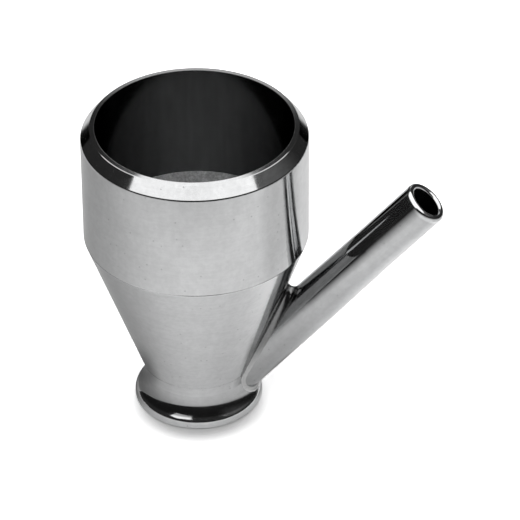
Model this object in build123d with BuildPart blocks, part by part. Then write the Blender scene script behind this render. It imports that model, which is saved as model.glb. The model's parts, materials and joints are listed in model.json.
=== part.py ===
from build123d import *
import os
from math import asin, cos, radians, sin, tan

os.makedirs("parts", exist_ok=True)

# A side-feed colour cup of plated brass: a bevelled barrel soldered onto a funnel, a flared foot
# that closes the funnel's bottom, and a feed stem that leaves the waist between them at a slant.
# The origin is the centre of the foot's underside, +Z is the cup's axis and the stem leans to +X.

# Barrel and its bevelled lip
cup_radius = 12.7
bore_radius = 11.03
rim_height = 37.1
bevel_drop = 1.44
land_width = 0.595
land_slope = 9.0
bevel_edge_round = 0.3
rim_edge_round = 0.1

# Funnel
shoulder_height = 22.9
cone_half_angle = 19.55
crease_height = 23.27
lap_radius = 11.86
lap_top = 25.0
film = 0.08
barrel_seam_recess = 0.06

# Foot
foot_radius = 7.34
foot_edge_height = 0.57
foot_edge_round = 0.3
foot_shoulder_radius = 1.08
foot_crest_angle = 40.2
floor_height = 3.2
dish_depth = 0.8

# Feed stem, measured along its own axis from where that axis meets the cup's axis
stem_angle = 50.3
stem_axis_height = -2.07
stem_root = 5.87
stem_taper_start = 22.0
stem_taper_end = 32.0
stem_length = 40.76
stem_root_radius = 2.68
stem_tip_radius = 2.57
stem_bore_radius = 1.8
stem_inlet_radius = 2.4
stem_inlet_end = 8.3
lip_outer_round = 0.42
lip_inner_round = stem_tip_radius - stem_bore_radius - lip_outer_round

# Solder round the stem's root
solder_fillet_radius = 0.65
root_line_low = 1.2
root_line_high = 15.0


def cone_radius(height):
    """Outside radius of the funnel's cone at a height."""
    return cup_radius - (shoulder_height - height) * tan(radians(cone_half_angle))


def inner_cone_radius(height):
    """Inside radius of the funnel's cone at a height."""
    return bore_radius - (crease_height - height) * tan(radians(cone_half_angle))


# The foot's flare is one arc, tangent to the funnel's cone above it and to the rounded shoulder
# below it. Angles are of the outward normal above the horizontal.
crest_angle = radians(foot_crest_angle)
cone_angle = radians(-cone_half_angle)
crest_x = foot_radius - foot_shoulder_radius * (1 - cos(crest_angle))
crest_z = foot_edge_height + foot_shoulder_radius * sin(crest_angle)
crest_from_cone = (crest_x - cone_radius(crest_z)) * cos(cone_angle)
flare_radius = crest_from_cone / (1 - cos(crest_angle - cone_angle))
flare_x = crest_x + flare_radius * cos(crest_angle)
flare_z = crest_z + flare_radius * sin(crest_angle)
neck_x = flare_x - flare_radius * cos(cone_angle)
neck_z = flare_z - flare_radius * sin(cone_angle)
waist_radius = flare_x - flare_radius
waist_height = flare_z


def flare_x_at(height):
    """Outside radius of the flare at a height."""
    return flare_x - flare_radius * cos(asin((flare_z - height) / flare_radius))


stem_direction = Vector(cos(radians(stem_angle)), 0, sin(radians(stem_angle)))
stem_origin = Vector(0, 0, stem_axis_height)
stem_axis = Axis(stem_origin, stem_direction)
stem_profile_plane = Plane(origin=stem_origin, x_dir=stem_direction, z_dir=(0, -1, 0))
stem_root_centre = stem_origin + stem_direction * stem_root
stem_root_plane = Plane(origin=stem_root_centre, x_dir=(0, 1, 0), z_dir=stem_direction)
stem_hole_radius = stem_root_radius + film
lip_outer_centre = (stem_length - lip_outer_round, stem_tip_radius - lip_outer_round)
lip_inner_centre = (stem_length - lip_inner_round, stem_bore_radius + lip_inner_round)
bevel_height = rim_height - bevel_drop
land_edge_height = rim_height - land_width * tan(radians(land_slope))
floor_radius = inner_cone_radius(floor_height)
floor_centre = (0, floor_height - dish_depth)
floor_halfway = (floor_radius / 2, floor_height - dish_depth * 3 / 4)
floor_edge = (floor_radius, floor_height)

# The space inside the cup, down to the dished floor. It only cuts the stem and its solder flush.
with BuildPart() as cavity:
    with BuildSketch(Plane.XZ):
        with BuildLine():
            Polyline(
                floor_centre,
                (0, rim_height),
                (bore_radius, rim_height),
                (bore_radius, crease_height),
                floor_edge,
            )
            ThreePointArc(floor_edge, floor_halfway, floor_centre)
        make_face()
    revolve(axis=Axis.Z)

# Barrel: the straight bored ring with the bevelled lip, counterbored for the funnel's spigot
with BuildPart() as cup_barrel:
    with BuildSketch(Plane.XZ):
        with BuildLine():
            Polyline(
                (bore_radius, lap_top),
                (bore_radius, rim_height),
                (bore_radius + land_width, land_edge_height),
                (cup_radius, bevel_height),
                (cup_radius, shoulder_height + film),
                (lap_radius, shoulder_height + film),
                (lap_radius, lap_top),
                close=True,
            )
        make_face()
    revolve(axis=Axis.Z)
    bevel_edge = cup_barrel.edges().filter_by_position(Axis.Z, bevel_height, bevel_height)
    fillet(bevel_edge, radius=bevel_edge_round)
    rim_edges = cup_barrel.edges().filter_by_position(Axis.Z, land_edge_height, rim_height)
    fillet(rim_edges, radius=rim_edge_round)
cup_barrel.part.label = "cup_barrel"
export_step(cup_barrel.part, "parts/cup_barrel.step")

# Solder film between the barrel and the funnel's shoulder, seen as the hairline round the cup
with BuildPart() as barrel_seam_solder:
    with BuildSketch(Plane.XY.offset(shoulder_height)):
        Circle(cup_radius - barrel_seam_recess)
        Circle(lap_radius, mode=Mode.SUBTRACT)
    extrude(amount=film)
barrel_seam_solder.part.label = "barrel_seam_solder"
export_step(barrel_seam_solder.part, "parts/barrel_seam_solder.step")

# Funnel: the conical wall, with a spigot up into the barrel, that ends at the waist above the foot
with BuildPart() as cup_funnel:
    with BuildSketch(Plane.XZ):
        with BuildLine():
            Polyline(
                (neck_x, neck_z),
                (cup_radius, shoulder_height),
                (lap_radius, shoulder_height),
                (lap_radius, lap_top),
                (bore_radius, lap_top),
                (bore_radius, crease_height),
                (inner_cone_radius(waist_height), waist_height),
                (waist_radius, waist_height),
            )
            ThreePointArc(
                (waist_radius, waist_height),
                (flare_x_at((waist_height + neck_z) / 2), (waist_height + neck_z) / 2),
                (neck_x, neck_z),
            )
        make_face()
    revolve(axis=Axis.Z)
    with BuildSketch(stem_root_plane):
        Circle(stem_hole_radius)
    extrude(amount=stem_length, mode=Mode.SUBTRACT)
cup_funnel.part.label = "cup_funnel"
export_step(cup_funnel.part, "parts/cup_funnel.step")

# Foot: the flared base that closes the funnel, with the dished floor and the stem's seat
foot_top = waist_height - film
with BuildPart() as flared_foot:
    with BuildSketch(Plane.XZ):
        with BuildLine():
            ThreePointArc(floor_centre, floor_halfway, floor_edge)
            Polyline(floor_edge, (inner_cone_radius(foot_top), foot_top), (flare_x_at(foot_top), foot_top))
            ThreePointArc(
                (flare_x_at(foot_top), foot_top),
                (flare_x_at((foot_top + crest_z) / 2), (foot_top + crest_z) / 2),
                (crest_x, crest_z),
            )
            CenterArc(
                (foot_radius - foot_shoulder_radius, foot_edge_height),
                foot_shoulder_radius,
                0,
                foot_crest_angle,
            )
            Line((foot_radius, foot_edge_height), (foot_radius, foot_edge_round))
            CenterArc((foot_radius - foot_edge_round, foot_edge_round), foot_edge_round, -90, 90)
            Polyline((foot_radius - foot_edge_round, 0), (0, 0), floor_centre)
        make_face()
    revolve(axis=Axis.Z)
    with BuildSketch(stem_root_plane):
        Circle(stem_hole_radius)
    extrude(amount=stem_length, mode=Mode.SUBTRACT)
flared_foot.part.label = "flared_foot"
export_step(flared_foot.part, "parts/flared_foot.step")

# Solder film between the funnel and the foot, flush with the waist outside and the bore inside
with BuildPart() as foot_seam_solder:
    with BuildSketch(Plane.XY.offset(foot_top)):
        Circle(waist_radius)
        Circle(inner_cone_radius(waist_height), mode=Mode.SUBTRACT)
    extrude(amount=film)
    with BuildSketch(stem_root_plane):
        Circle(stem_hole_radius)
    extrude(amount=stem_length, mode=Mode.SUBTRACT)
foot_seam_solder.part.label = "foot_seam_solder"
export_step(foot_seam_solder.part, "parts/foot_seam_solder.step")

# Feed stem: a tube with a rounded lip and a slight taper. Its root is reamed to a funnel, so that the
# last paint drains into it, and is cut flush with the cup's inside.
with BuildPart() as feed_stem:
    with BuildSketch(stem_profile_plane):
        with BuildLine():
            Polyline(
                (stem_length - lip_inner_round, stem_bore_radius),
                (stem_inlet_end, stem_bore_radius),
                (stem_root, stem_inlet_radius),
                (stem_root, stem_root_radius),
                (stem_taper_start, stem_root_radius),
                (stem_taper_end, stem_tip_radius),
                (stem_length - lip_outer_round, stem_tip_radius),
            )
            CenterArc(lip_outer_centre, lip_outer_round, 0, 90)
            CenterArc(lip_inner_centre, lip_inner_round, -90, 90)
        make_face()
    revolve(axis=stem_axis)
    add(cavity.part, mode=Mode.SUBTRACT)
feed_stem.part.label = "feed_stem"
export_step(feed_stem.part, "parts/feed_stem.step")

# The outside of the funnel and the foot as one solid. It only shapes the solder at the stem's root.
with BuildPart() as skin:
    with BuildSketch(Plane.XZ):
        with BuildLine():
            Polyline((0, 0), (0, shoulder_height), (cup_radius, shoulder_height), (neck_x, neck_z))
            ThreePointArc(
                (neck_x, neck_z),
                (flare_x_at((neck_z + crest_z) / 2), (neck_z + crest_z) / 2),
                (crest_x, crest_z),
            )
            Polyline((crest_x, crest_z), (crest_x, 0), (0, 0))
        make_face()
    revolve(axis=Axis.Z)

# The same solid with the stem's hole in it
with BuildPart() as drilled_skin:
    add(skin.part)
    with BuildSketch(stem_root_plane):
        Circle(stem_hole_radius)
    extrude(amount=stem_length, mode=Mode.SUBTRACT)

# Solder at the stem's root: a fillet all round the outside, and the film that fills the hole
with BuildPart() as stem_solder_fillet:
    add(skin.part)
    with BuildSketch(stem_root_plane):
        Circle(stem_root_radius)
    extrude(amount=stem_taper_start - stem_root)
    curved_edges = stem_solder_fillet.edges().filter_by(GeomType.BSPLINE)
    root_line = curved_edges.filter_by_position(Axis.Z, root_line_low, root_line_high)
    fillet(root_line, radius=solder_fillet_radius)
    add(drilled_skin.part, mode=Mode.SUBTRACT)
    add(cavity.part, mode=Mode.SUBTRACT)
    with BuildSketch(stem_root_plane):
        Circle(stem_root_radius)
    extrude(amount=stem_length, mode=Mode.SUBTRACT)
stem_solder_fillet.part.label = "stem_solder_fillet"
export_step(stem_solder_fillet.part, "parts/stem_solder_fillet.step")
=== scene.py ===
"""Looks of the side-feed colour cup: plated-metal finishes, a pale table, a soft studio and the camera."""

import json
from collections import namedtuple
from math import cos, pi, radians, sin

import bpy
from mathutils import Matrix, Vector


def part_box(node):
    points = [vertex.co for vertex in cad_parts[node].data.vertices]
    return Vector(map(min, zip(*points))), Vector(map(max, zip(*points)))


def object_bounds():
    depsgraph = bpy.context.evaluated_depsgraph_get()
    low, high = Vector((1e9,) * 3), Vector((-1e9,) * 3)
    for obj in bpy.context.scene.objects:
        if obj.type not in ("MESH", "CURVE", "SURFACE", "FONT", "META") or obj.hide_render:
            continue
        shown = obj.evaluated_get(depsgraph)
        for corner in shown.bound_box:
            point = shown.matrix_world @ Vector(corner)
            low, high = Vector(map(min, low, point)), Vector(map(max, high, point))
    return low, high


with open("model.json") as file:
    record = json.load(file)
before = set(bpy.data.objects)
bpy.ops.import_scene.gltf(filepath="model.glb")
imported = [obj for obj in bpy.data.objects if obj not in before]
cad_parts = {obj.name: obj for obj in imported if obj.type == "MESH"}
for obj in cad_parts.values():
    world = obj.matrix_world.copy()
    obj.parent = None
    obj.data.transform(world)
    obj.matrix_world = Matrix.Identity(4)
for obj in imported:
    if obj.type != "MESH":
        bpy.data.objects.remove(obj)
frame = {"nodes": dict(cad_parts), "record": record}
cad_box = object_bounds()

MM = 0.001

# ---------------------------------------------------------------------------------------------
# The cup's own places, all read from the frame
# ---------------------------------------------------------------------------------------------

mounts = {mount["name"]: mount for mount in frame["record"]["mounts"]}
stem_axis = Vector(mounts["stem_plug"]["axis"])
stem_point = Vector(mounts["stem_plug"]["pos_m"])
stem_origin = stem_point - stem_axis * (stem_point.x / stem_axis.x)
stem_side = Vector((0, 1, 0))
stem_top = stem_side.cross(stem_axis)
cup_centre = (cad_box[0] + cad_box[1]) / 2

# ---------------------------------------------------------------------------------------------
# The view
# ---------------------------------------------------------------------------------------------

VIEW_AZIMUTH = radians(8.31)
VIEW_ELEVATION = radians(36.0)
VIEW_ROLL = radians(-0.324)
VIEW_DISTANCE = 448.9 * MM
AIM_FROM_CENTRE = Vector((-0.48, 1.02, 0.066)) * MM
VIEW_AIM = cup_centre + AIM_FROM_CENTRE
LENS = 274.58
SENSOR = 36.0
CLIP_START = 10 * MM

# Level directions in the cup's own frame: to the right of this view, and away from it
VIEW_RIGHT = Vector((cos(VIEW_AZIMUTH), sin(VIEW_AZIMUTH), 0))
VIEW_AWAY = Vector((-sin(VIEW_AZIMUTH), cos(VIEW_AZIMUTH), 0))

# ---------------------------------------------------------------------------------------------
# A small language for node trees
# ---------------------------------------------------------------------------------------------

# A noise: cells in each unit of length, detail, roughness, and how much finer it is along each axis
Texture = namedtuple("Texture", "scale detail roughness stretch", defaults=[None])

# The part of a noise's range that most of it lies in
NOISE_BAND = (0.3, 0.7)


def grey(level, warmth=0.0):
    """A neutral colour, slightly warmer or cooler."""
    return (level * (1 + warmth), level, level * (1 - warmth), 1.0)


class Graph:
    """Builds one node tree: every method makes a node and gives back the output that it is used for."""

    def __init__(self, tree):
        self.tree = tree
        tree.nodes.clear()

    def node(self, kind, inputs=None, **settings):
        made = self.tree.nodes.new(kind)
        for name, value in settings.items():
            setattr(made, name, value)
        for name, value in (inputs or {}).items():
            if isinstance(value, bpy.types.NodeSocket):
                self.tree.links.new(value, made.inputs[name])
            else:
                made.inputs[name].default_value = value
        return made

    def math(self, operation, first, second=0.0):
        return self.node("ShaderNodeMath", {0: first, 1: second}, operation=operation).outputs[0]

    def times(self, first, *factors):
        """The product of several numbers."""
        product = first
        for factor in factors:
            product = self.math("MULTIPLY", product, factor)
        return product

    def vector(self, operation, first, second=(0, 0, 0)):
        made = self.node("ShaderNodeVectorMath", {0: first, 1: second}, operation=operation)
        return made.outputs["Value" if operation in ("DOT_PRODUCT", "LENGTH") else "Vector"]

    def scaled(self, vector, factor):
        made = self.node("ShaderNodeVectorMath", {0: vector, "Scale": factor}, operation="SCALE")
        return made.outputs["Vector"]

    def along(self, vector, direction):
        """How far a vector goes in a fixed direction."""
        return self.vector("DOT_PRODUCT", vector, tuple(direction))

    def facing(self, vector, direction):
        """How nearly a vector points in a fixed direction: 1 when it does."""
        return self.along(self.vector("NORMALIZE", vector), direction)

    def distance(self, point, centre):
        return self.vector("LENGTH", self.vector("SUBTRACT", point, tuple(centre)))

    def combine(self, x, y, z):
        return self.node("ShaderNodeCombineXYZ", {0: x, 1: y, 2: z}).outputs[0]

    def axes(self, vector):
        """The three numbers of a vector."""
        return self.node("ShaderNodeSeparateXYZ", {0: vector}).outputs

    def steps(self, value, low, high, to_low=0.0, to_high=1.0):
        """A smooth step from to_low to to_high as value goes from low to high."""
        values = {0: value, 1: low, 2: high, 3: to_low, 4: to_high}
        return self.node("ShaderNodeMapRange", values, interpolation_type="SMOOTHSTEP").outputs[0]

    def steps_linear(self, value, low, high):
        """A straight ramp from 0 to 1 as value goes from low to high."""
        return self.node("ShaderNodeMapRange", {0: value, 1: low, 2: high}).outputs[0]

    def noise(self, vector, texture):
        if texture.stretch:
            vector = self.vector("MULTIPLY", vector, texture.stretch)
        values = {"Vector": vector, "Scale": texture.scale}
        values.update({"Detail": texture.detail, "Roughness": texture.roughness})
        return self.node("ShaderNodeTexNoise", values).outputs[0]

    def varied(self, noise, levels):
        """A level that a noise takes from the first of two levels to the second."""
        return self.steps(noise, *NOISE_BAND, *levels)

    def blend(self, factor, first, second):
        """Mixes two numbers."""
        values = {0: factor, 2: first, 3: second}
        return self.node("ShaderNodeMix", values, data_type="FLOAT").outputs[0]

    def mixed(self, factor, first, second):
        """Mixes two shaders."""
        return self.node("ShaderNodeMixShader", {0: factor, 1: first, 2: second}).outputs[0]

    def bump(self, height, depth):
        """A bump whose height of 1 stands depth metres proud."""
        values = {"Height": height, "Distance": depth, "Strength": 1.0}
        return self.node("ShaderNodeBump", values).outputs[0]


# ---------------------------------------------------------------------------------------------
# Places on the metal, in millimetres
# ---------------------------------------------------------------------------------------------

# How much a surface faces away from the cup's axis, from inside to outside
INWARD_BAND = (-0.35, -0.2)
# How much a surface looks up, from the upright wall to the inner cone
SLOPE_BAND = (0.12, 0.2)


def place(graph):
    """The point on the object in its own frame, in millimetres."""
    own = graph.node("ShaderNodeTexCoord").outputs["Object"]
    return graph.scaled(own, 1 / MM)


def around_cup(graph, point):
    """Unrolled round the cup's axis: (along the circle, up, out)."""
    x, y, up = graph.axes(point)
    out = graph.vector("LENGTH", graph.combine(x, y, 0.0))
    turn = graph.math("ARCTAN2", y, x)
    return graph.combine(graph.times(turn, out), up, out)


def around_stem(graph, point):
    """Unrolled round the stem's axis: (along the stem from the cup's axis, along the circle, out)."""
    middle = graph.vector("SUBTRACT", point, tuple(stem_origin / MM))
    side = graph.along(middle, stem_side)
    top = graph.along(middle, stem_top)
    out = graph.vector("LENGTH", graph.combine(side, top, 0.0))
    turn = graph.math("ARCTAN2", top, side)
    return graph.combine(graph.along(middle, stem_axis), graph.times(turn, out), out)


def surface_normal(graph):
    return graph.node("ShaderNodeNewGeometry").outputs["Normal"]


def facing_in(graph, point):
    """1 where the surface faces the cup's axis, as inside the bore, and 0 outside."""
    outward = graph.vector("NORMALIZE", graph.vector("MULTIPLY", point, (1, 1, 0)))
    return graph.steps(graph.vector("DOT_PRODUCT", surface_normal(graph), outward), *INWARD_BAND, 1.0, 0.0)


def sloping_up(graph):
    """1 where the surface slopes up, as in the inner cone, and 0 on upright walls."""
    return graph.steps(graph.axes(surface_normal(graph))[2], *SLOPE_BAND)


# ---------------------------------------------------------------------------------------------
# Finishes. Textures are in cells per millimetre, and a stretch is (along the grain, across it, out).
# A level scales the metal's colour, a rise is in bump heights, and lengths are in millimetres.
# ---------------------------------------------------------------------------------------------

NICKEL = grey(0.66, -0.006)
CHROME = grey(0.585, -0.008)
SOLDER = grey(0.23)
DULL_NICKEL = grey(0.2, -0.01)
BRIGHT_EDGE = grey(1.0)
DARK_EDGE = grey(0.2)

# One bump height in metres on polished plating, and how many of them each other finish has
BUMP = 0.25e-6
STEM_BUMP = 0.4 * BUMP
BORE_BUMP = 1.5 * BUMP
SOLDER_BUMP = 1.6 * BUMP
CONE_BUMP = 12 * BUMP

# Polished plating: lines and marks that follow the grain, cloudiness, smudges and small dark specks
POLISH_LINES = Texture(1.0, 3.0, 0.6, (0.35, 22.0, 1.0))
STRAY_MARKS = Texture(1.0, 4.0, 0.7, (5.5, 0.9, 1.0))
TURNED_MARKS = Texture(1.0, 4.0, 0.7, (0.3, 3.2, 1.0))
DRAWN_MARKS = Texture(1.0, 3.0, 0.6, (1.1, 0.16, 1.0))
SMUDGES = Texture(0.22, 3.0, 0.55)
CLOUDS = Texture(0.4, 3.0, 0.6)
MOTTLE = Texture(1.7, 3.0, 0.6)
STRAY_SHIFT = (3, 1, 0)
SCRATCH_BAND = (0.62, 0.74)
STRAY_BAND = (0.66, 0.8)
STRAY_LEVEL = 0.95
MOTTLE_LEVELS = (0.965, 1.04)
CLOUD_LEVELS = (0.98, 1.03)
TURNED_LEVELS = (0.975, 1.025)
DRAWN_LEVELS = (0.985, 1.02)
SPECK_CELLS = 1.15
SPECK_CHOICE = (0.6, 0.62)
SPECK_EDGE = (0.05, 0.16)
SPECK_LEVEL = 0.72
SMUDGE_BAND = (0.35, 0.7)
SMUDGE_ROUGHNESS = (0.07, 0.12)
SCRATCH_ROUGHNESS = 0.04
LINE_RISE = 0.35
MOTTLE_RISE = 0.9
SPECK_DEPTH = 2.0

# Satin bore: turning rings, upright streaks, and painted shade that deepens towards two opposite walls of
# the cup, the ones at the left and the right of this view, with a painted highlight between them
RINGS = Texture(1.0, 4.0, 0.65, (0.05, 7.0, 0.0))
STREAKS = Texture(1.0, 2.0, 0.5, (0.9, 0.04, 0.0))
STREAK_LEVELS = (0.94, 1.04)
RING_LEVELS = (0.95, 1.04)
RING_ROUGHNESS = (0.12, 0.17)
BORE_SHADE_ACROSS = VIEW_RIGHT
BORE_SHADE_BAND = (1.0, 9.0)
BORE_SHADE_LEVELS = (1.1, 0.4)

# Inner cone and floor: a grey, granular plating
GRAINS = Texture(3.4, 5.0, 0.75)
BLOTCHES = Texture(0.8, 2.0, 0.5)
GRAIN_LEVELS = (0.72, 1.3)
BLOTCH_LEVELS = (0.9, 1.1)
GRAIN_ROUGHNESS = (0.62, 0.78)

# Funnel outside: painted shade in the hollow between it and the stem, and a painted highlight along the edge
# under the barrel
CROTCH_SHADE_TEXTURE = Texture(0.6, 3.0, 0.6)
CROTCH_SHADE_SPREAD = 0.12
CROTCH_SHADE_BAND = (cos(radians(42)) + CROTCH_SHADE_SPREAD / 2, cos(radians(22)) + CROTCH_SHADE_SPREAD / 2)
CROTCH_SHADE_LEVEL = 0.4
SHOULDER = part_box("barrel_seam_solder")[0].z / MM
# painted highlight along the funnel's edge just under the barrel
SHOULDER_HIGHLIGHT_BAND = (SHOULDER - 0.25, SHOULDER - 0.1)
SHOULDER_HIGHLIGHT_LEVEL = 1.1

# Foot: painted shade in the hollow of the flare, from its crest upwards, and the granular floor inside
CREST_BAND = (1.3, 1.5)
FLARE_SHADE_DEEP = 1.5
FLARE_SHADE_TOP = 4.3
FLARE_SHADE_LEVEL = 0.6
FLOOR_HEIGHT_BAND = (2.0, 2.2)
FLOOR_EDGE_BAND = (4.25, 4.45)

# Stem, measured along its axis: haze from handling near the root, which roughens it, with painted shade that
# darkens it there, and a brighter lip
LIP_BAND = (39.9, 40.2)
LIP_LEVEL = 1.3
ROOT_HAZE_AND_SHADE_BAND = (12.0, 34.0)
ROOT_SHADE_LEVEL = 0.74
HAZE_ROUGHNESS = 0.06

# Solder round the stem: clean low down, dull from the heat higher up, with ripples and pores
CLEAN_BAND = (5.0, 10.0)
CLEAN_LEVEL = 2.7
RIPPLES = Texture(0.9, 3.0, 0.55)
PORES = Texture(5.0, 3.0, 0.6)
PORE_BAND = (0.3, 0.75)
PORE_LEVELS = (1.04, 0.9)
PORE_ROUGHNESS_BAND = (0.35, 0.7)
PORE_ROUGHNESS = (0.12, 0.22)
RIPPLE_RISE = 6.0

# Solder in the seam under the barrel: filled more fully in some places than in others
FILLED = Texture(0.09, 2.0, 0.5)
FILLED_BAND = (0.4, 0.6)
SEAM_LEVELS = (1.2, 2.9)
SEAM_ROUGHNESS = (0.16, 0.3)


def polished_plating(graph, point, grain):
    """Bright plating: (level, roughness, height)."""
    lines = graph.noise(grain, POLISH_LINES)
    marks = graph.steps(graph.noise(graph.vector("ADD", grain, STRAY_SHIFT), STRAY_MARKS), *STRAY_BAND)
    mottle = graph.noise(point, MOTTLE)
    cells = graph.node("ShaderNodeTexVoronoi", {"Vector": point, "Scale": SPECK_CELLS})
    chance = graph.node("ShaderNodeSeparateColor", {0: cells.outputs["Color"]}).outputs[0]
    spot = graph.steps(cells.outputs["Distance"], *SPECK_EDGE, 1.0, 0.0)
    speck = graph.times(spot, graph.steps(chance, *SPECK_CHOICE))

    level = graph.times(
        graph.varied(mottle, MOTTLE_LEVELS),
        graph.varied(graph.noise(point, CLOUDS), CLOUD_LEVELS),
        graph.varied(graph.noise(grain, TURNED_MARKS), TURNED_LEVELS),
        graph.varied(graph.noise(grain, DRAWN_MARKS), DRAWN_LEVELS),
        graph.steps(speck, 0.0, 1.0, 1.0, SPECK_LEVEL),
        graph.steps(marks, 0.0, 1.0, 1.0, STRAY_LEVEL),
    )
    scratched = graph.times(graph.steps(lines, *SCRATCH_BAND), SCRATCH_ROUGHNESS)
    smudged = graph.steps(graph.noise(point, SMUDGES), *SMUDGE_BAND, *SMUDGE_ROUGHNESS)
    height = graph.math("ADD", graph.times(lines, LINE_RISE), graph.times(mottle, MOTTLE_RISE))
    height = graph.math("SUBTRACT", height, graph.times(speck, SPECK_DEPTH))
    return level, graph.math("ADD", smudged, scratched), height


def plated(graph, base, edge, level, roughness, normal):
    """A plated-metal shader. The level scales the base colour."""
    values = {"Base Color": graph.scaled(base[:3], level), "Metallic": 1.0, "Roughness": roughness}
    values.update({"Normal": normal, "Specular Tint": edge})
    return graph.node("ShaderNodeBsdfPrincipled", values).outputs[0]


def bore_shader(graph, point, grain):
    """The bore: duller than the outside, with painted shade deepest towards two opposite walls and a painted
    highlight between them.
    """
    rings = graph.noise(grain, RINGS)
    off_centre = graph.math("ABSOLUTE", graph.along(point, BORE_SHADE_ACROSS))
    level = graph.times(
        graph.varied(graph.noise(grain, STREAKS), STREAK_LEVELS),
        graph.varied(rings, RING_LEVELS),
        # painted shade towards the left and right walls, and a painted highlight between them
        graph.steps(off_centre, *BORE_SHADE_BAND, *BORE_SHADE_LEVELS),
    )
    roughness = graph.varied(rings, RING_ROUGHNESS)
    return plated(graph, DULL_NICKEL, DARK_EDGE, level, roughness, graph.bump(rings, BORE_BUMP))


def cone_shader(graph, point):
    """The unpolished inside of the funnel and the floor."""
    grains = graph.noise(point, GRAINS)
    blotches = graph.noise(point, BLOTCHES)
    level = graph.times(graph.varied(grains, GRAIN_LEVELS), graph.varied(blotches, BLOTCH_LEVELS))
    roughness = graph.varied(grains, GRAIN_ROUGHNESS)
    return plated(graph, NICKEL, BRIGHT_EDGE, level, roughness, graph.bump(grains, CONE_BUMP))


def barrel_surface(graph, point):
    grain = around_cup(graph, point)
    level, roughness, height = polished_plating(graph, point, grain)
    outer = plated(graph, NICKEL, BRIGHT_EDGE, level, roughness, graph.bump(height, BUMP))
    return graph.mixed(facing_in(graph, point), outer, bore_shader(graph, point, grain))


def crotch_shade(graph, point):
    """1 in the hollow between the funnel and the stem, where shade is painted in, fading out round the cup.
    """
    x, y, _ = graph.axes(point)
    toward_stem = graph.facing(graph.combine(x, y, 0.0), (1, 0, 0))
    spread = graph.times(graph.noise(point, CROTCH_SHADE_TEXTURE), CROTCH_SHADE_SPREAD)
    return graph.steps(graph.math("ADD", toward_stem, spread), *CROTCH_SHADE_BAND)


def funnel_surface(graph, point):
    grain = around_cup(graph, point)
    level, roughness, height = polished_plating(graph, point, grain)
    # painted shade in the hollow between the funnel and the stem
    crotch_shaded = graph.blend(crotch_shade(graph, point), 1.0, CROTCH_SHADE_LEVEL)
    # painted highlight along the edge under the barrel
    shoulder_highlight = graph.steps(graph.axes(point)[2], *SHOULDER_HIGHLIGHT_BAND, 1.0, SHOULDER_HIGHLIGHT_LEVEL)
    level = graph.times(level, crotch_shaded, shoulder_highlight)
    outer = plated(graph, NICKEL, BRIGHT_EDGE, level, roughness, graph.bump(height, BUMP))
    inner = graph.mixed(sloping_up(graph), bore_shader(graph, point, grain), cone_shader(graph, point))
    return graph.mixed(facing_in(graph, point), outer, inner)


def foot_surface(graph, point):
    grain = around_cup(graph, point)
    level, roughness, height = polished_plating(graph, point, grain)
    up = graph.axes(point)[2]
    # painted shade in the hollow of the flare: darkest just above the crest, fading out upwards
    flare_shade = graph.times(graph.steps(up, FLARE_SHADE_TOP, FLARE_SHADE_DEEP, 0.0, FLARE_SHADE_LEVEL), graph.steps(up, *CREST_BAND))
    level = graph.times(level, graph.math("SUBTRACT", 1.0, flare_shade))
    outer = plated(graph, NICKEL, BRIGHT_EDGE, level, roughness, graph.bump(height, BUMP))
    within = graph.steps(graph.axes(grain)[2], *FLOOR_EDGE_BAND, 1.0, 0.0)
    floor = graph.times(graph.steps(up, *FLOOR_HEIGHT_BAND), within)
    return graph.mixed(floor, outer, cone_shader(graph, point))


def stem_surface(graph, point):
    grain = around_stem(graph, point)
    level, roughness, height = polished_plating(graph, point, grain)
    along = graph.axes(grain)[0]
    lip = graph.steps(along, *LIP_BAND, 1.0, LIP_LEVEL)
    # painted shade near the stem's root, towards the cup
    level = graph.times(level, lip, graph.steps(along, *ROOT_HAZE_AND_SHADE_BAND, ROOT_SHADE_LEVEL, 1.0))
    roughness = graph.math("ADD", roughness, graph.steps(along, *ROOT_HAZE_AND_SHADE_BAND, HAZE_ROUGHNESS, 0.0))
    return plated(graph, CHROME, BRIGHT_EDGE, level, roughness, graph.bump(height, STEM_BUMP))


def solder_surface(graph, point):
    clean = graph.steps(graph.axes(point)[2], *CLEAN_BAND, CLEAN_LEVEL, 1.0)
    pores = graph.noise(point, PORES)
    level = graph.times(clean, graph.steps(pores, *PORE_BAND, *PORE_LEVELS))
    roughness = graph.steps(pores, *PORE_ROUGHNESS_BAND, *PORE_ROUGHNESS)
    height = graph.math("ADD", graph.times(graph.noise(point, RIPPLES), RIPPLE_RISE), pores)
    return plated(graph, SOLDER, BRIGHT_EDGE, level, roughness, graph.bump(height, SOLDER_BUMP))


def seam_surface(graph, point):
    level = graph.steps(graph.noise(point, FILLED), *FILLED_BAND, *SEAM_LEVELS)
    pores = graph.noise(point, PORES)
    roughness = graph.varied(pores, SEAM_ROUGHNESS)
    return plated(graph, SOLDER, BRIGHT_EDGE, level, roughness, graph.bump(pores, BUMP))


def metal(name, surface):
    """A material whose shader is surface(graph, point), with the point in millimetres."""
    made = bpy.data.materials.new(name)
    made.use_nodes = True
    graph = Graph(made.node_tree)
    graph.node("ShaderNodeOutputMaterial", {"Surface": surface(graph, place(graph))})
    return made


def dress(material, *nodes):
    """Puts a finish on every material slot of these CAD nodes."""
    for name in nodes:
        for slot in frame["nodes"][name].material_slots:
            slot.material = material


barrel_plating = metal("barrel_plating", barrel_surface)
funnel_plating = metal("funnel_plating", funnel_surface)
foot_plating = metal("foot_plating", foot_surface)
stem_plating = metal("stem_plating", stem_surface)
solder_plating = metal("solder_plating", solder_surface)
seam_plating = metal("seam_plating", seam_surface)

dress(barrel_plating, "cup_barrel")
dress(funnel_plating, "cup_funnel")
dress(foot_plating, "flared_foot", "foot_seam_solder")
dress(stem_plating, "feed_stem")
dress(solder_plating, "stem_solder_fillet")
dress(seam_plating, "barrel_seam_solder")

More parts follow.
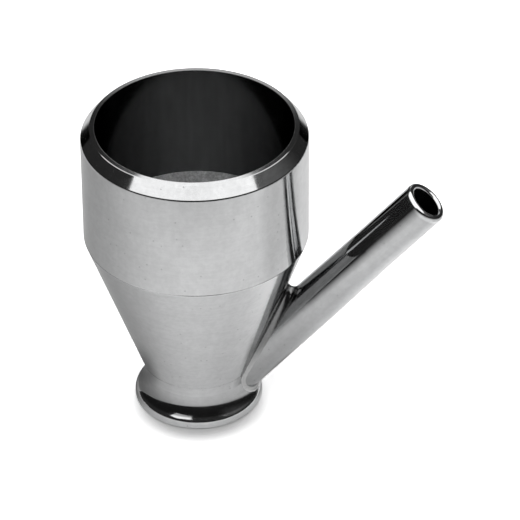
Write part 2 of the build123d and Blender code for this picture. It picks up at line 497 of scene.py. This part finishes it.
# ---------------------------------------------------------------------------------------------
# The light panels and the room. The camera sees neither of them, and has plain white behind the table.
# ---------------------------------------------------------------------------------------------

# The overhead softbox, a flat panel with a wing towards the camera on the left: how far its edges lie
# from the cup, to the right of it and towards the camera
SOFTBOX_HEIGHT = 400 * MM
SOFTBOX_LEFT = -555 * MM
SOFTBOX_RIGHT = 519 * MM
SOFTBOX_NEAR = 436 * MM
SOFTBOX_FAR = -300 * MM
WING_RIGHT = -140 * MM
WING_NEAR = 640 * MM
SOFTBOX_LEVEL = 1.27

# The room round the table: dark, with a pale backdrop low down straight behind, which ends at the
# heights given, and a faint glow high up on the right
ROOM_DARK = 0.025
ROOM_BACKDROP = 0.5
BACKDROP_AHEAD = (0.6, 0.8)
BACKDROP_ASIDE = (0.08, 0.2)
BACKDROP_TOP = (sin(radians(24)), sin(radians(31)))
BACKDROP_ABOVE = 0.25
ROOM_GLOW = 0.11
GLOW_RIGHT = (0.5, 0.9)
GLOW_UP = (0.15, 0.5)

# ---------------------------------------------------------------------------------------------
# The table, white paper that the camera and the metal see differently
# ---------------------------------------------------------------------------------------------

TABLE_SIZE = 6.0

# As the camera sees it: evenly lit paper with a soft shade where the foot stands on it, a little
# nearer than the cup's axis
PAPER_FIBRE = Texture(1.5, 3.0, 0.5)
FIBRE_BAND = (0.2, 0.8)
FIBRE_LEVELS = (0.90, 0.93)
PAPER_LIGHT = 2.1
PAPER_GLOW = 0.16
CONTACT_CENTRE = VIEW_AWAY * -2.2 * MM
CONTACT_BAND = (5.2 * MM, 8.9 * MM)
CONTACT_LEVELS = (0.33, 1.06)

# As the metal reflects it. The paper is bright round the cup and dimmer in the cup's shade, which
# lies to the left and a little behind
NEAR_LIGHT = 0.80
NEAR_SHADE = 0.40
SHADE_TURN = radians(-115)
SHADE_SIDE = VIEW_RIGHT * sin(SHADE_TURN) - VIEW_AWAY * cos(SHADE_TURN)
SHADE_START = -0.5
SHADE_LENGTH = 60 * MM
SHADE_BEYOND = 0.4
# It is a little brighter close round the foot, and brightest out under the stem
FOOT_LIGHT = 1.05
FOOT_LIGHT_BAND = (18 * MM, 38 * MM)
GLEAM = 0.42
GLEAM_CENTRE = VIEW_RIGHT * 26 * MM + VIEW_AWAY * 5 * MM
GLEAM_REACH = 26 * MM
# The shade right beside the foot, behind it on the left
BESIDE_FOOT = VIEW_AWAY * 0.5 - VIEW_RIGHT * 0.85
BESIDE_FACING = (0.5, 0.95)
BESIDE_BAND = (8.5 * MM, 13 * MM)
BESIDE_SHADE = 0.48
# The shade under the stem's root
UNDER_STEM = VIEW_RIGHT * 11 * MM + VIEW_AWAY * 1 * MM
UNDER_REACH = 4.5 * MM
UNDER_SHADE = 0.5
# The dimmer paper far out on the right
FLANK_FACING = (0.85, 0.98)
FLANK_BAND = (36 * MM, 44 * MM)
FLANK_SHADE = 0.2
# The light falls off with distance from a place behind the cup, and the sheet ends behind that
FADE_CENTRE = VIEW_AWAY * 45 * MM
FADE_START = 95 * MM
FADE_HALF = 65 * MM
SHEET_BAND = (128 * MM, 163 * MM)
BEYOND_SHEET = 0.03
# The share of the softbox's level that reaches open paper
OPEN_LIGHT = 0.60


def table_reflectance(graph, point):
    """How much of the studio light the table sends into the metal, at a point on it."""
    radius = graph.vector("LENGTH", point)
    shade = graph.steps_linear(graph.facing(point, SHADE_SIDE), SHADE_START, 1.0)
    shade = graph.times(shade, graph.steps(radius, SHADE_LENGTH, 2 * SHADE_LENGTH, 1.0, SHADE_BEYOND))
    near = graph.blend(graph.times(shade, shade), NEAR_LIGHT, NEAR_SHADE)
    gleam = graph.steps(graph.distance(point, GLEAM_CENTRE), 0.0, GLEAM_REACH, GLEAM, 0.0)
    near = graph.math("ADD", near, gleam)

    beside = graph.steps(graph.facing(point, BESIDE_FOOT), *BESIDE_FACING)
    beside = graph.times(beside, graph.steps(radius, *BESIDE_BAND, BESIDE_SHADE, 0.0))
    under = graph.steps(graph.distance(point, UNDER_STEM), 0.0, UNDER_REACH, 1 - UNDER_SHADE, 1.0)
    flank = graph.steps(graph.facing(point, VIEW_RIGHT), *FLANK_FACING)
    flank = graph.times(flank, graph.steps(radius, *FLANK_BAND, 0.0, FLANK_SHADE))
    close = graph.steps(radius, *FOOT_LIGHT_BAND, FOOT_LIGHT, 1.0)
    clear_beside = graph.math("SUBTRACT", 1.0, beside)
    clear_flank = graph.math("SUBTRACT", 1.0, flank)

    beyond = graph.math("SUBTRACT", graph.distance(point, FADE_CENTRE), FADE_START)
    fade = graph.math("DIVIDE", FADE_HALF, graph.math("ADD", graph.math("MAXIMUM", beyond, 0.0), FADE_HALF))
    sheet = graph.steps(graph.along(point, VIEW_AWAY), *SHEET_BAND, 1.0, BEYOND_SHEET)
    radiance = graph.times(near, clear_beside, under, clear_flank, close, fade, sheet)
    return graph.math("DIVIDE", radiance, OPEN_LIGHT * SOFTBOX_LEVEL)


def table_material():
    made = bpy.data.materials.new("table_paper")
    made.use_nodes = True
    graph = Graph(made.node_tree)
    point = graph.node("ShaderNodeTexCoord").outputs["Object"]
    seen = graph.node("ShaderNodeLightPath").outputs["Is Camera Ray"]
    fibre = graph.noise(graph.scaled(point, 1 / MM), PAPER_FIBRE)
    contact = graph.steps(graph.distance(point, CONTACT_CENTRE), *CONTACT_BAND, *CONTACT_LEVELS)
    pale = graph.times(graph.steps(fibre, *FIBRE_BAND, *FIBRE_LEVELS), contact, PAPER_LIGHT)
    level = graph.blend(seen, table_reflectance(graph, point), pale)
    paper = graph.node("ShaderNodeBsdfDiffuse", {"Color": level})
    glow = graph.times(seen, PAPER_GLOW, contact)
    shine = graph.node("ShaderNodeEmission", {"Color": grey(1.0), "Strength": glow})
    both = graph.node("ShaderNodeAddShader", {0: paper.outputs[0], 1: shine.outputs[0]})
    graph.node("ShaderNodeOutputMaterial", {"Surface": both.outputs[0]})
    return made


def make_table():
    half = TABLE_SIZE / 2
    corners = [(-half, -half, 0), (half, -half, 0), (half, half, 0), (-half, half, 0)]
    mesh = bpy.data.meshes.new("table")
    mesh.from_pydata(corners, [], [(0, 1, 2, 3)])
    mesh.materials.append(table_material())
    table = bpy.data.objects.new("table", mesh)
    bpy.context.scene.collection.objects.link(table)


def make_studio():
    """White for the camera, and for the metal a dark room with a pale backdrop straight behind."""
    world = bpy.data.worlds.new("studio")
    world.use_nodes = True
    bpy.context.scene.world = world
    graph = Graph(world.node_tree)
    direction = graph.node("ShaderNodeTexCoord").outputs["Generated"]
    right = graph.along(direction, VIEW_RIGHT)
    up = graph.axes(direction)[2]
    ahead = graph.steps(graph.along(direction, VIEW_AWAY), *BACKDROP_AHEAD)
    middle = graph.steps(graph.math("ABSOLUTE", right), *BACKDROP_ASIDE, 1.0, 0.0)
    low = graph.steps(up, *BACKDROP_TOP, 1.0, BACKDROP_ABOVE)
    room = graph.blend(graph.times(ahead, middle, low), ROOM_DARK, ROOM_BACKDROP)
    glow = graph.times(graph.steps(right, *GLOW_RIGHT), graph.steps(up, *GLOW_UP), ROOM_GLOW)
    room = graph.math("ADD", room, glow)
    seen = graph.node("ShaderNodeLightPath").outputs["Is Camera Ray"]
    level = graph.blend(seen, room, 1.0)
    back = graph.node("ShaderNodeBackground", {"Color": grey(1.0), "Strength": level})
    graph.node("ShaderNodeOutputWorld", {"Surface": back.outputs[0]})


def make_panel(name, left, right, near, far):
    """A flat light panel above the table, camera-invisible; its edges are given as the camera sees them."""
    middle = VIEW_RIGHT * (right + left) / 2 - VIEW_AWAY * (far + near) / 2
    light = bpy.data.lights.new(name, "AREA")
    light.shape = "RECTANGLE"
    light.size = right - left
    light.size_y = near - far
    light.energy = SOFTBOX_LEVEL * pi * light.size * light.size_y
    panel = bpy.data.objects.new(name, light)
    panel.location = middle + Vector((0, 0, SOFTBOX_HEIGHT))
    panel.rotation_euler = (0, 0, VIEW_AZIMUTH)
    panel.visible_camera = False
    bpy.context.scene.collection.objects.link(panel)


def make_camera():
    lens = bpy.data.cameras.new("view")
    lens.sensor_width = SENSOR
    lens.lens = LENS
    lens.clip_start = CLIP_START
    camera = bpy.data.objects.new("view", lens)
    back = Vector((
        sin(VIEW_AZIMUTH) * cos(VIEW_ELEVATION),
        -cos(VIEW_AZIMUTH) * cos(VIEW_ELEVATION),
        sin(VIEW_ELEVATION),
    ))
    camera.location = VIEW_AIM + back * VIEW_DISTANCE
    turn = back.to_track_quat("Z", "Y").to_matrix() @ Matrix.Rotation(VIEW_ROLL, 3, "Z")
    camera.rotation_euler = turn.to_euler()
    bpy.context.scene.collection.objects.link(camera)
    bpy.context.scene.camera = camera


make_camera()
make_table()
make_studio()
make_panel("softbox", SOFTBOX_LEFT, SOFTBOX_RIGHT, SOFTBOX_NEAR, SOFTBOX_FAR)
make_panel("softbox_wing", SOFTBOX_LEFT, WING_RIGHT, WING_NEAR, SOFTBOX_NEAR)
bpy.context.scene.view_settings.view_transform = "Standard"
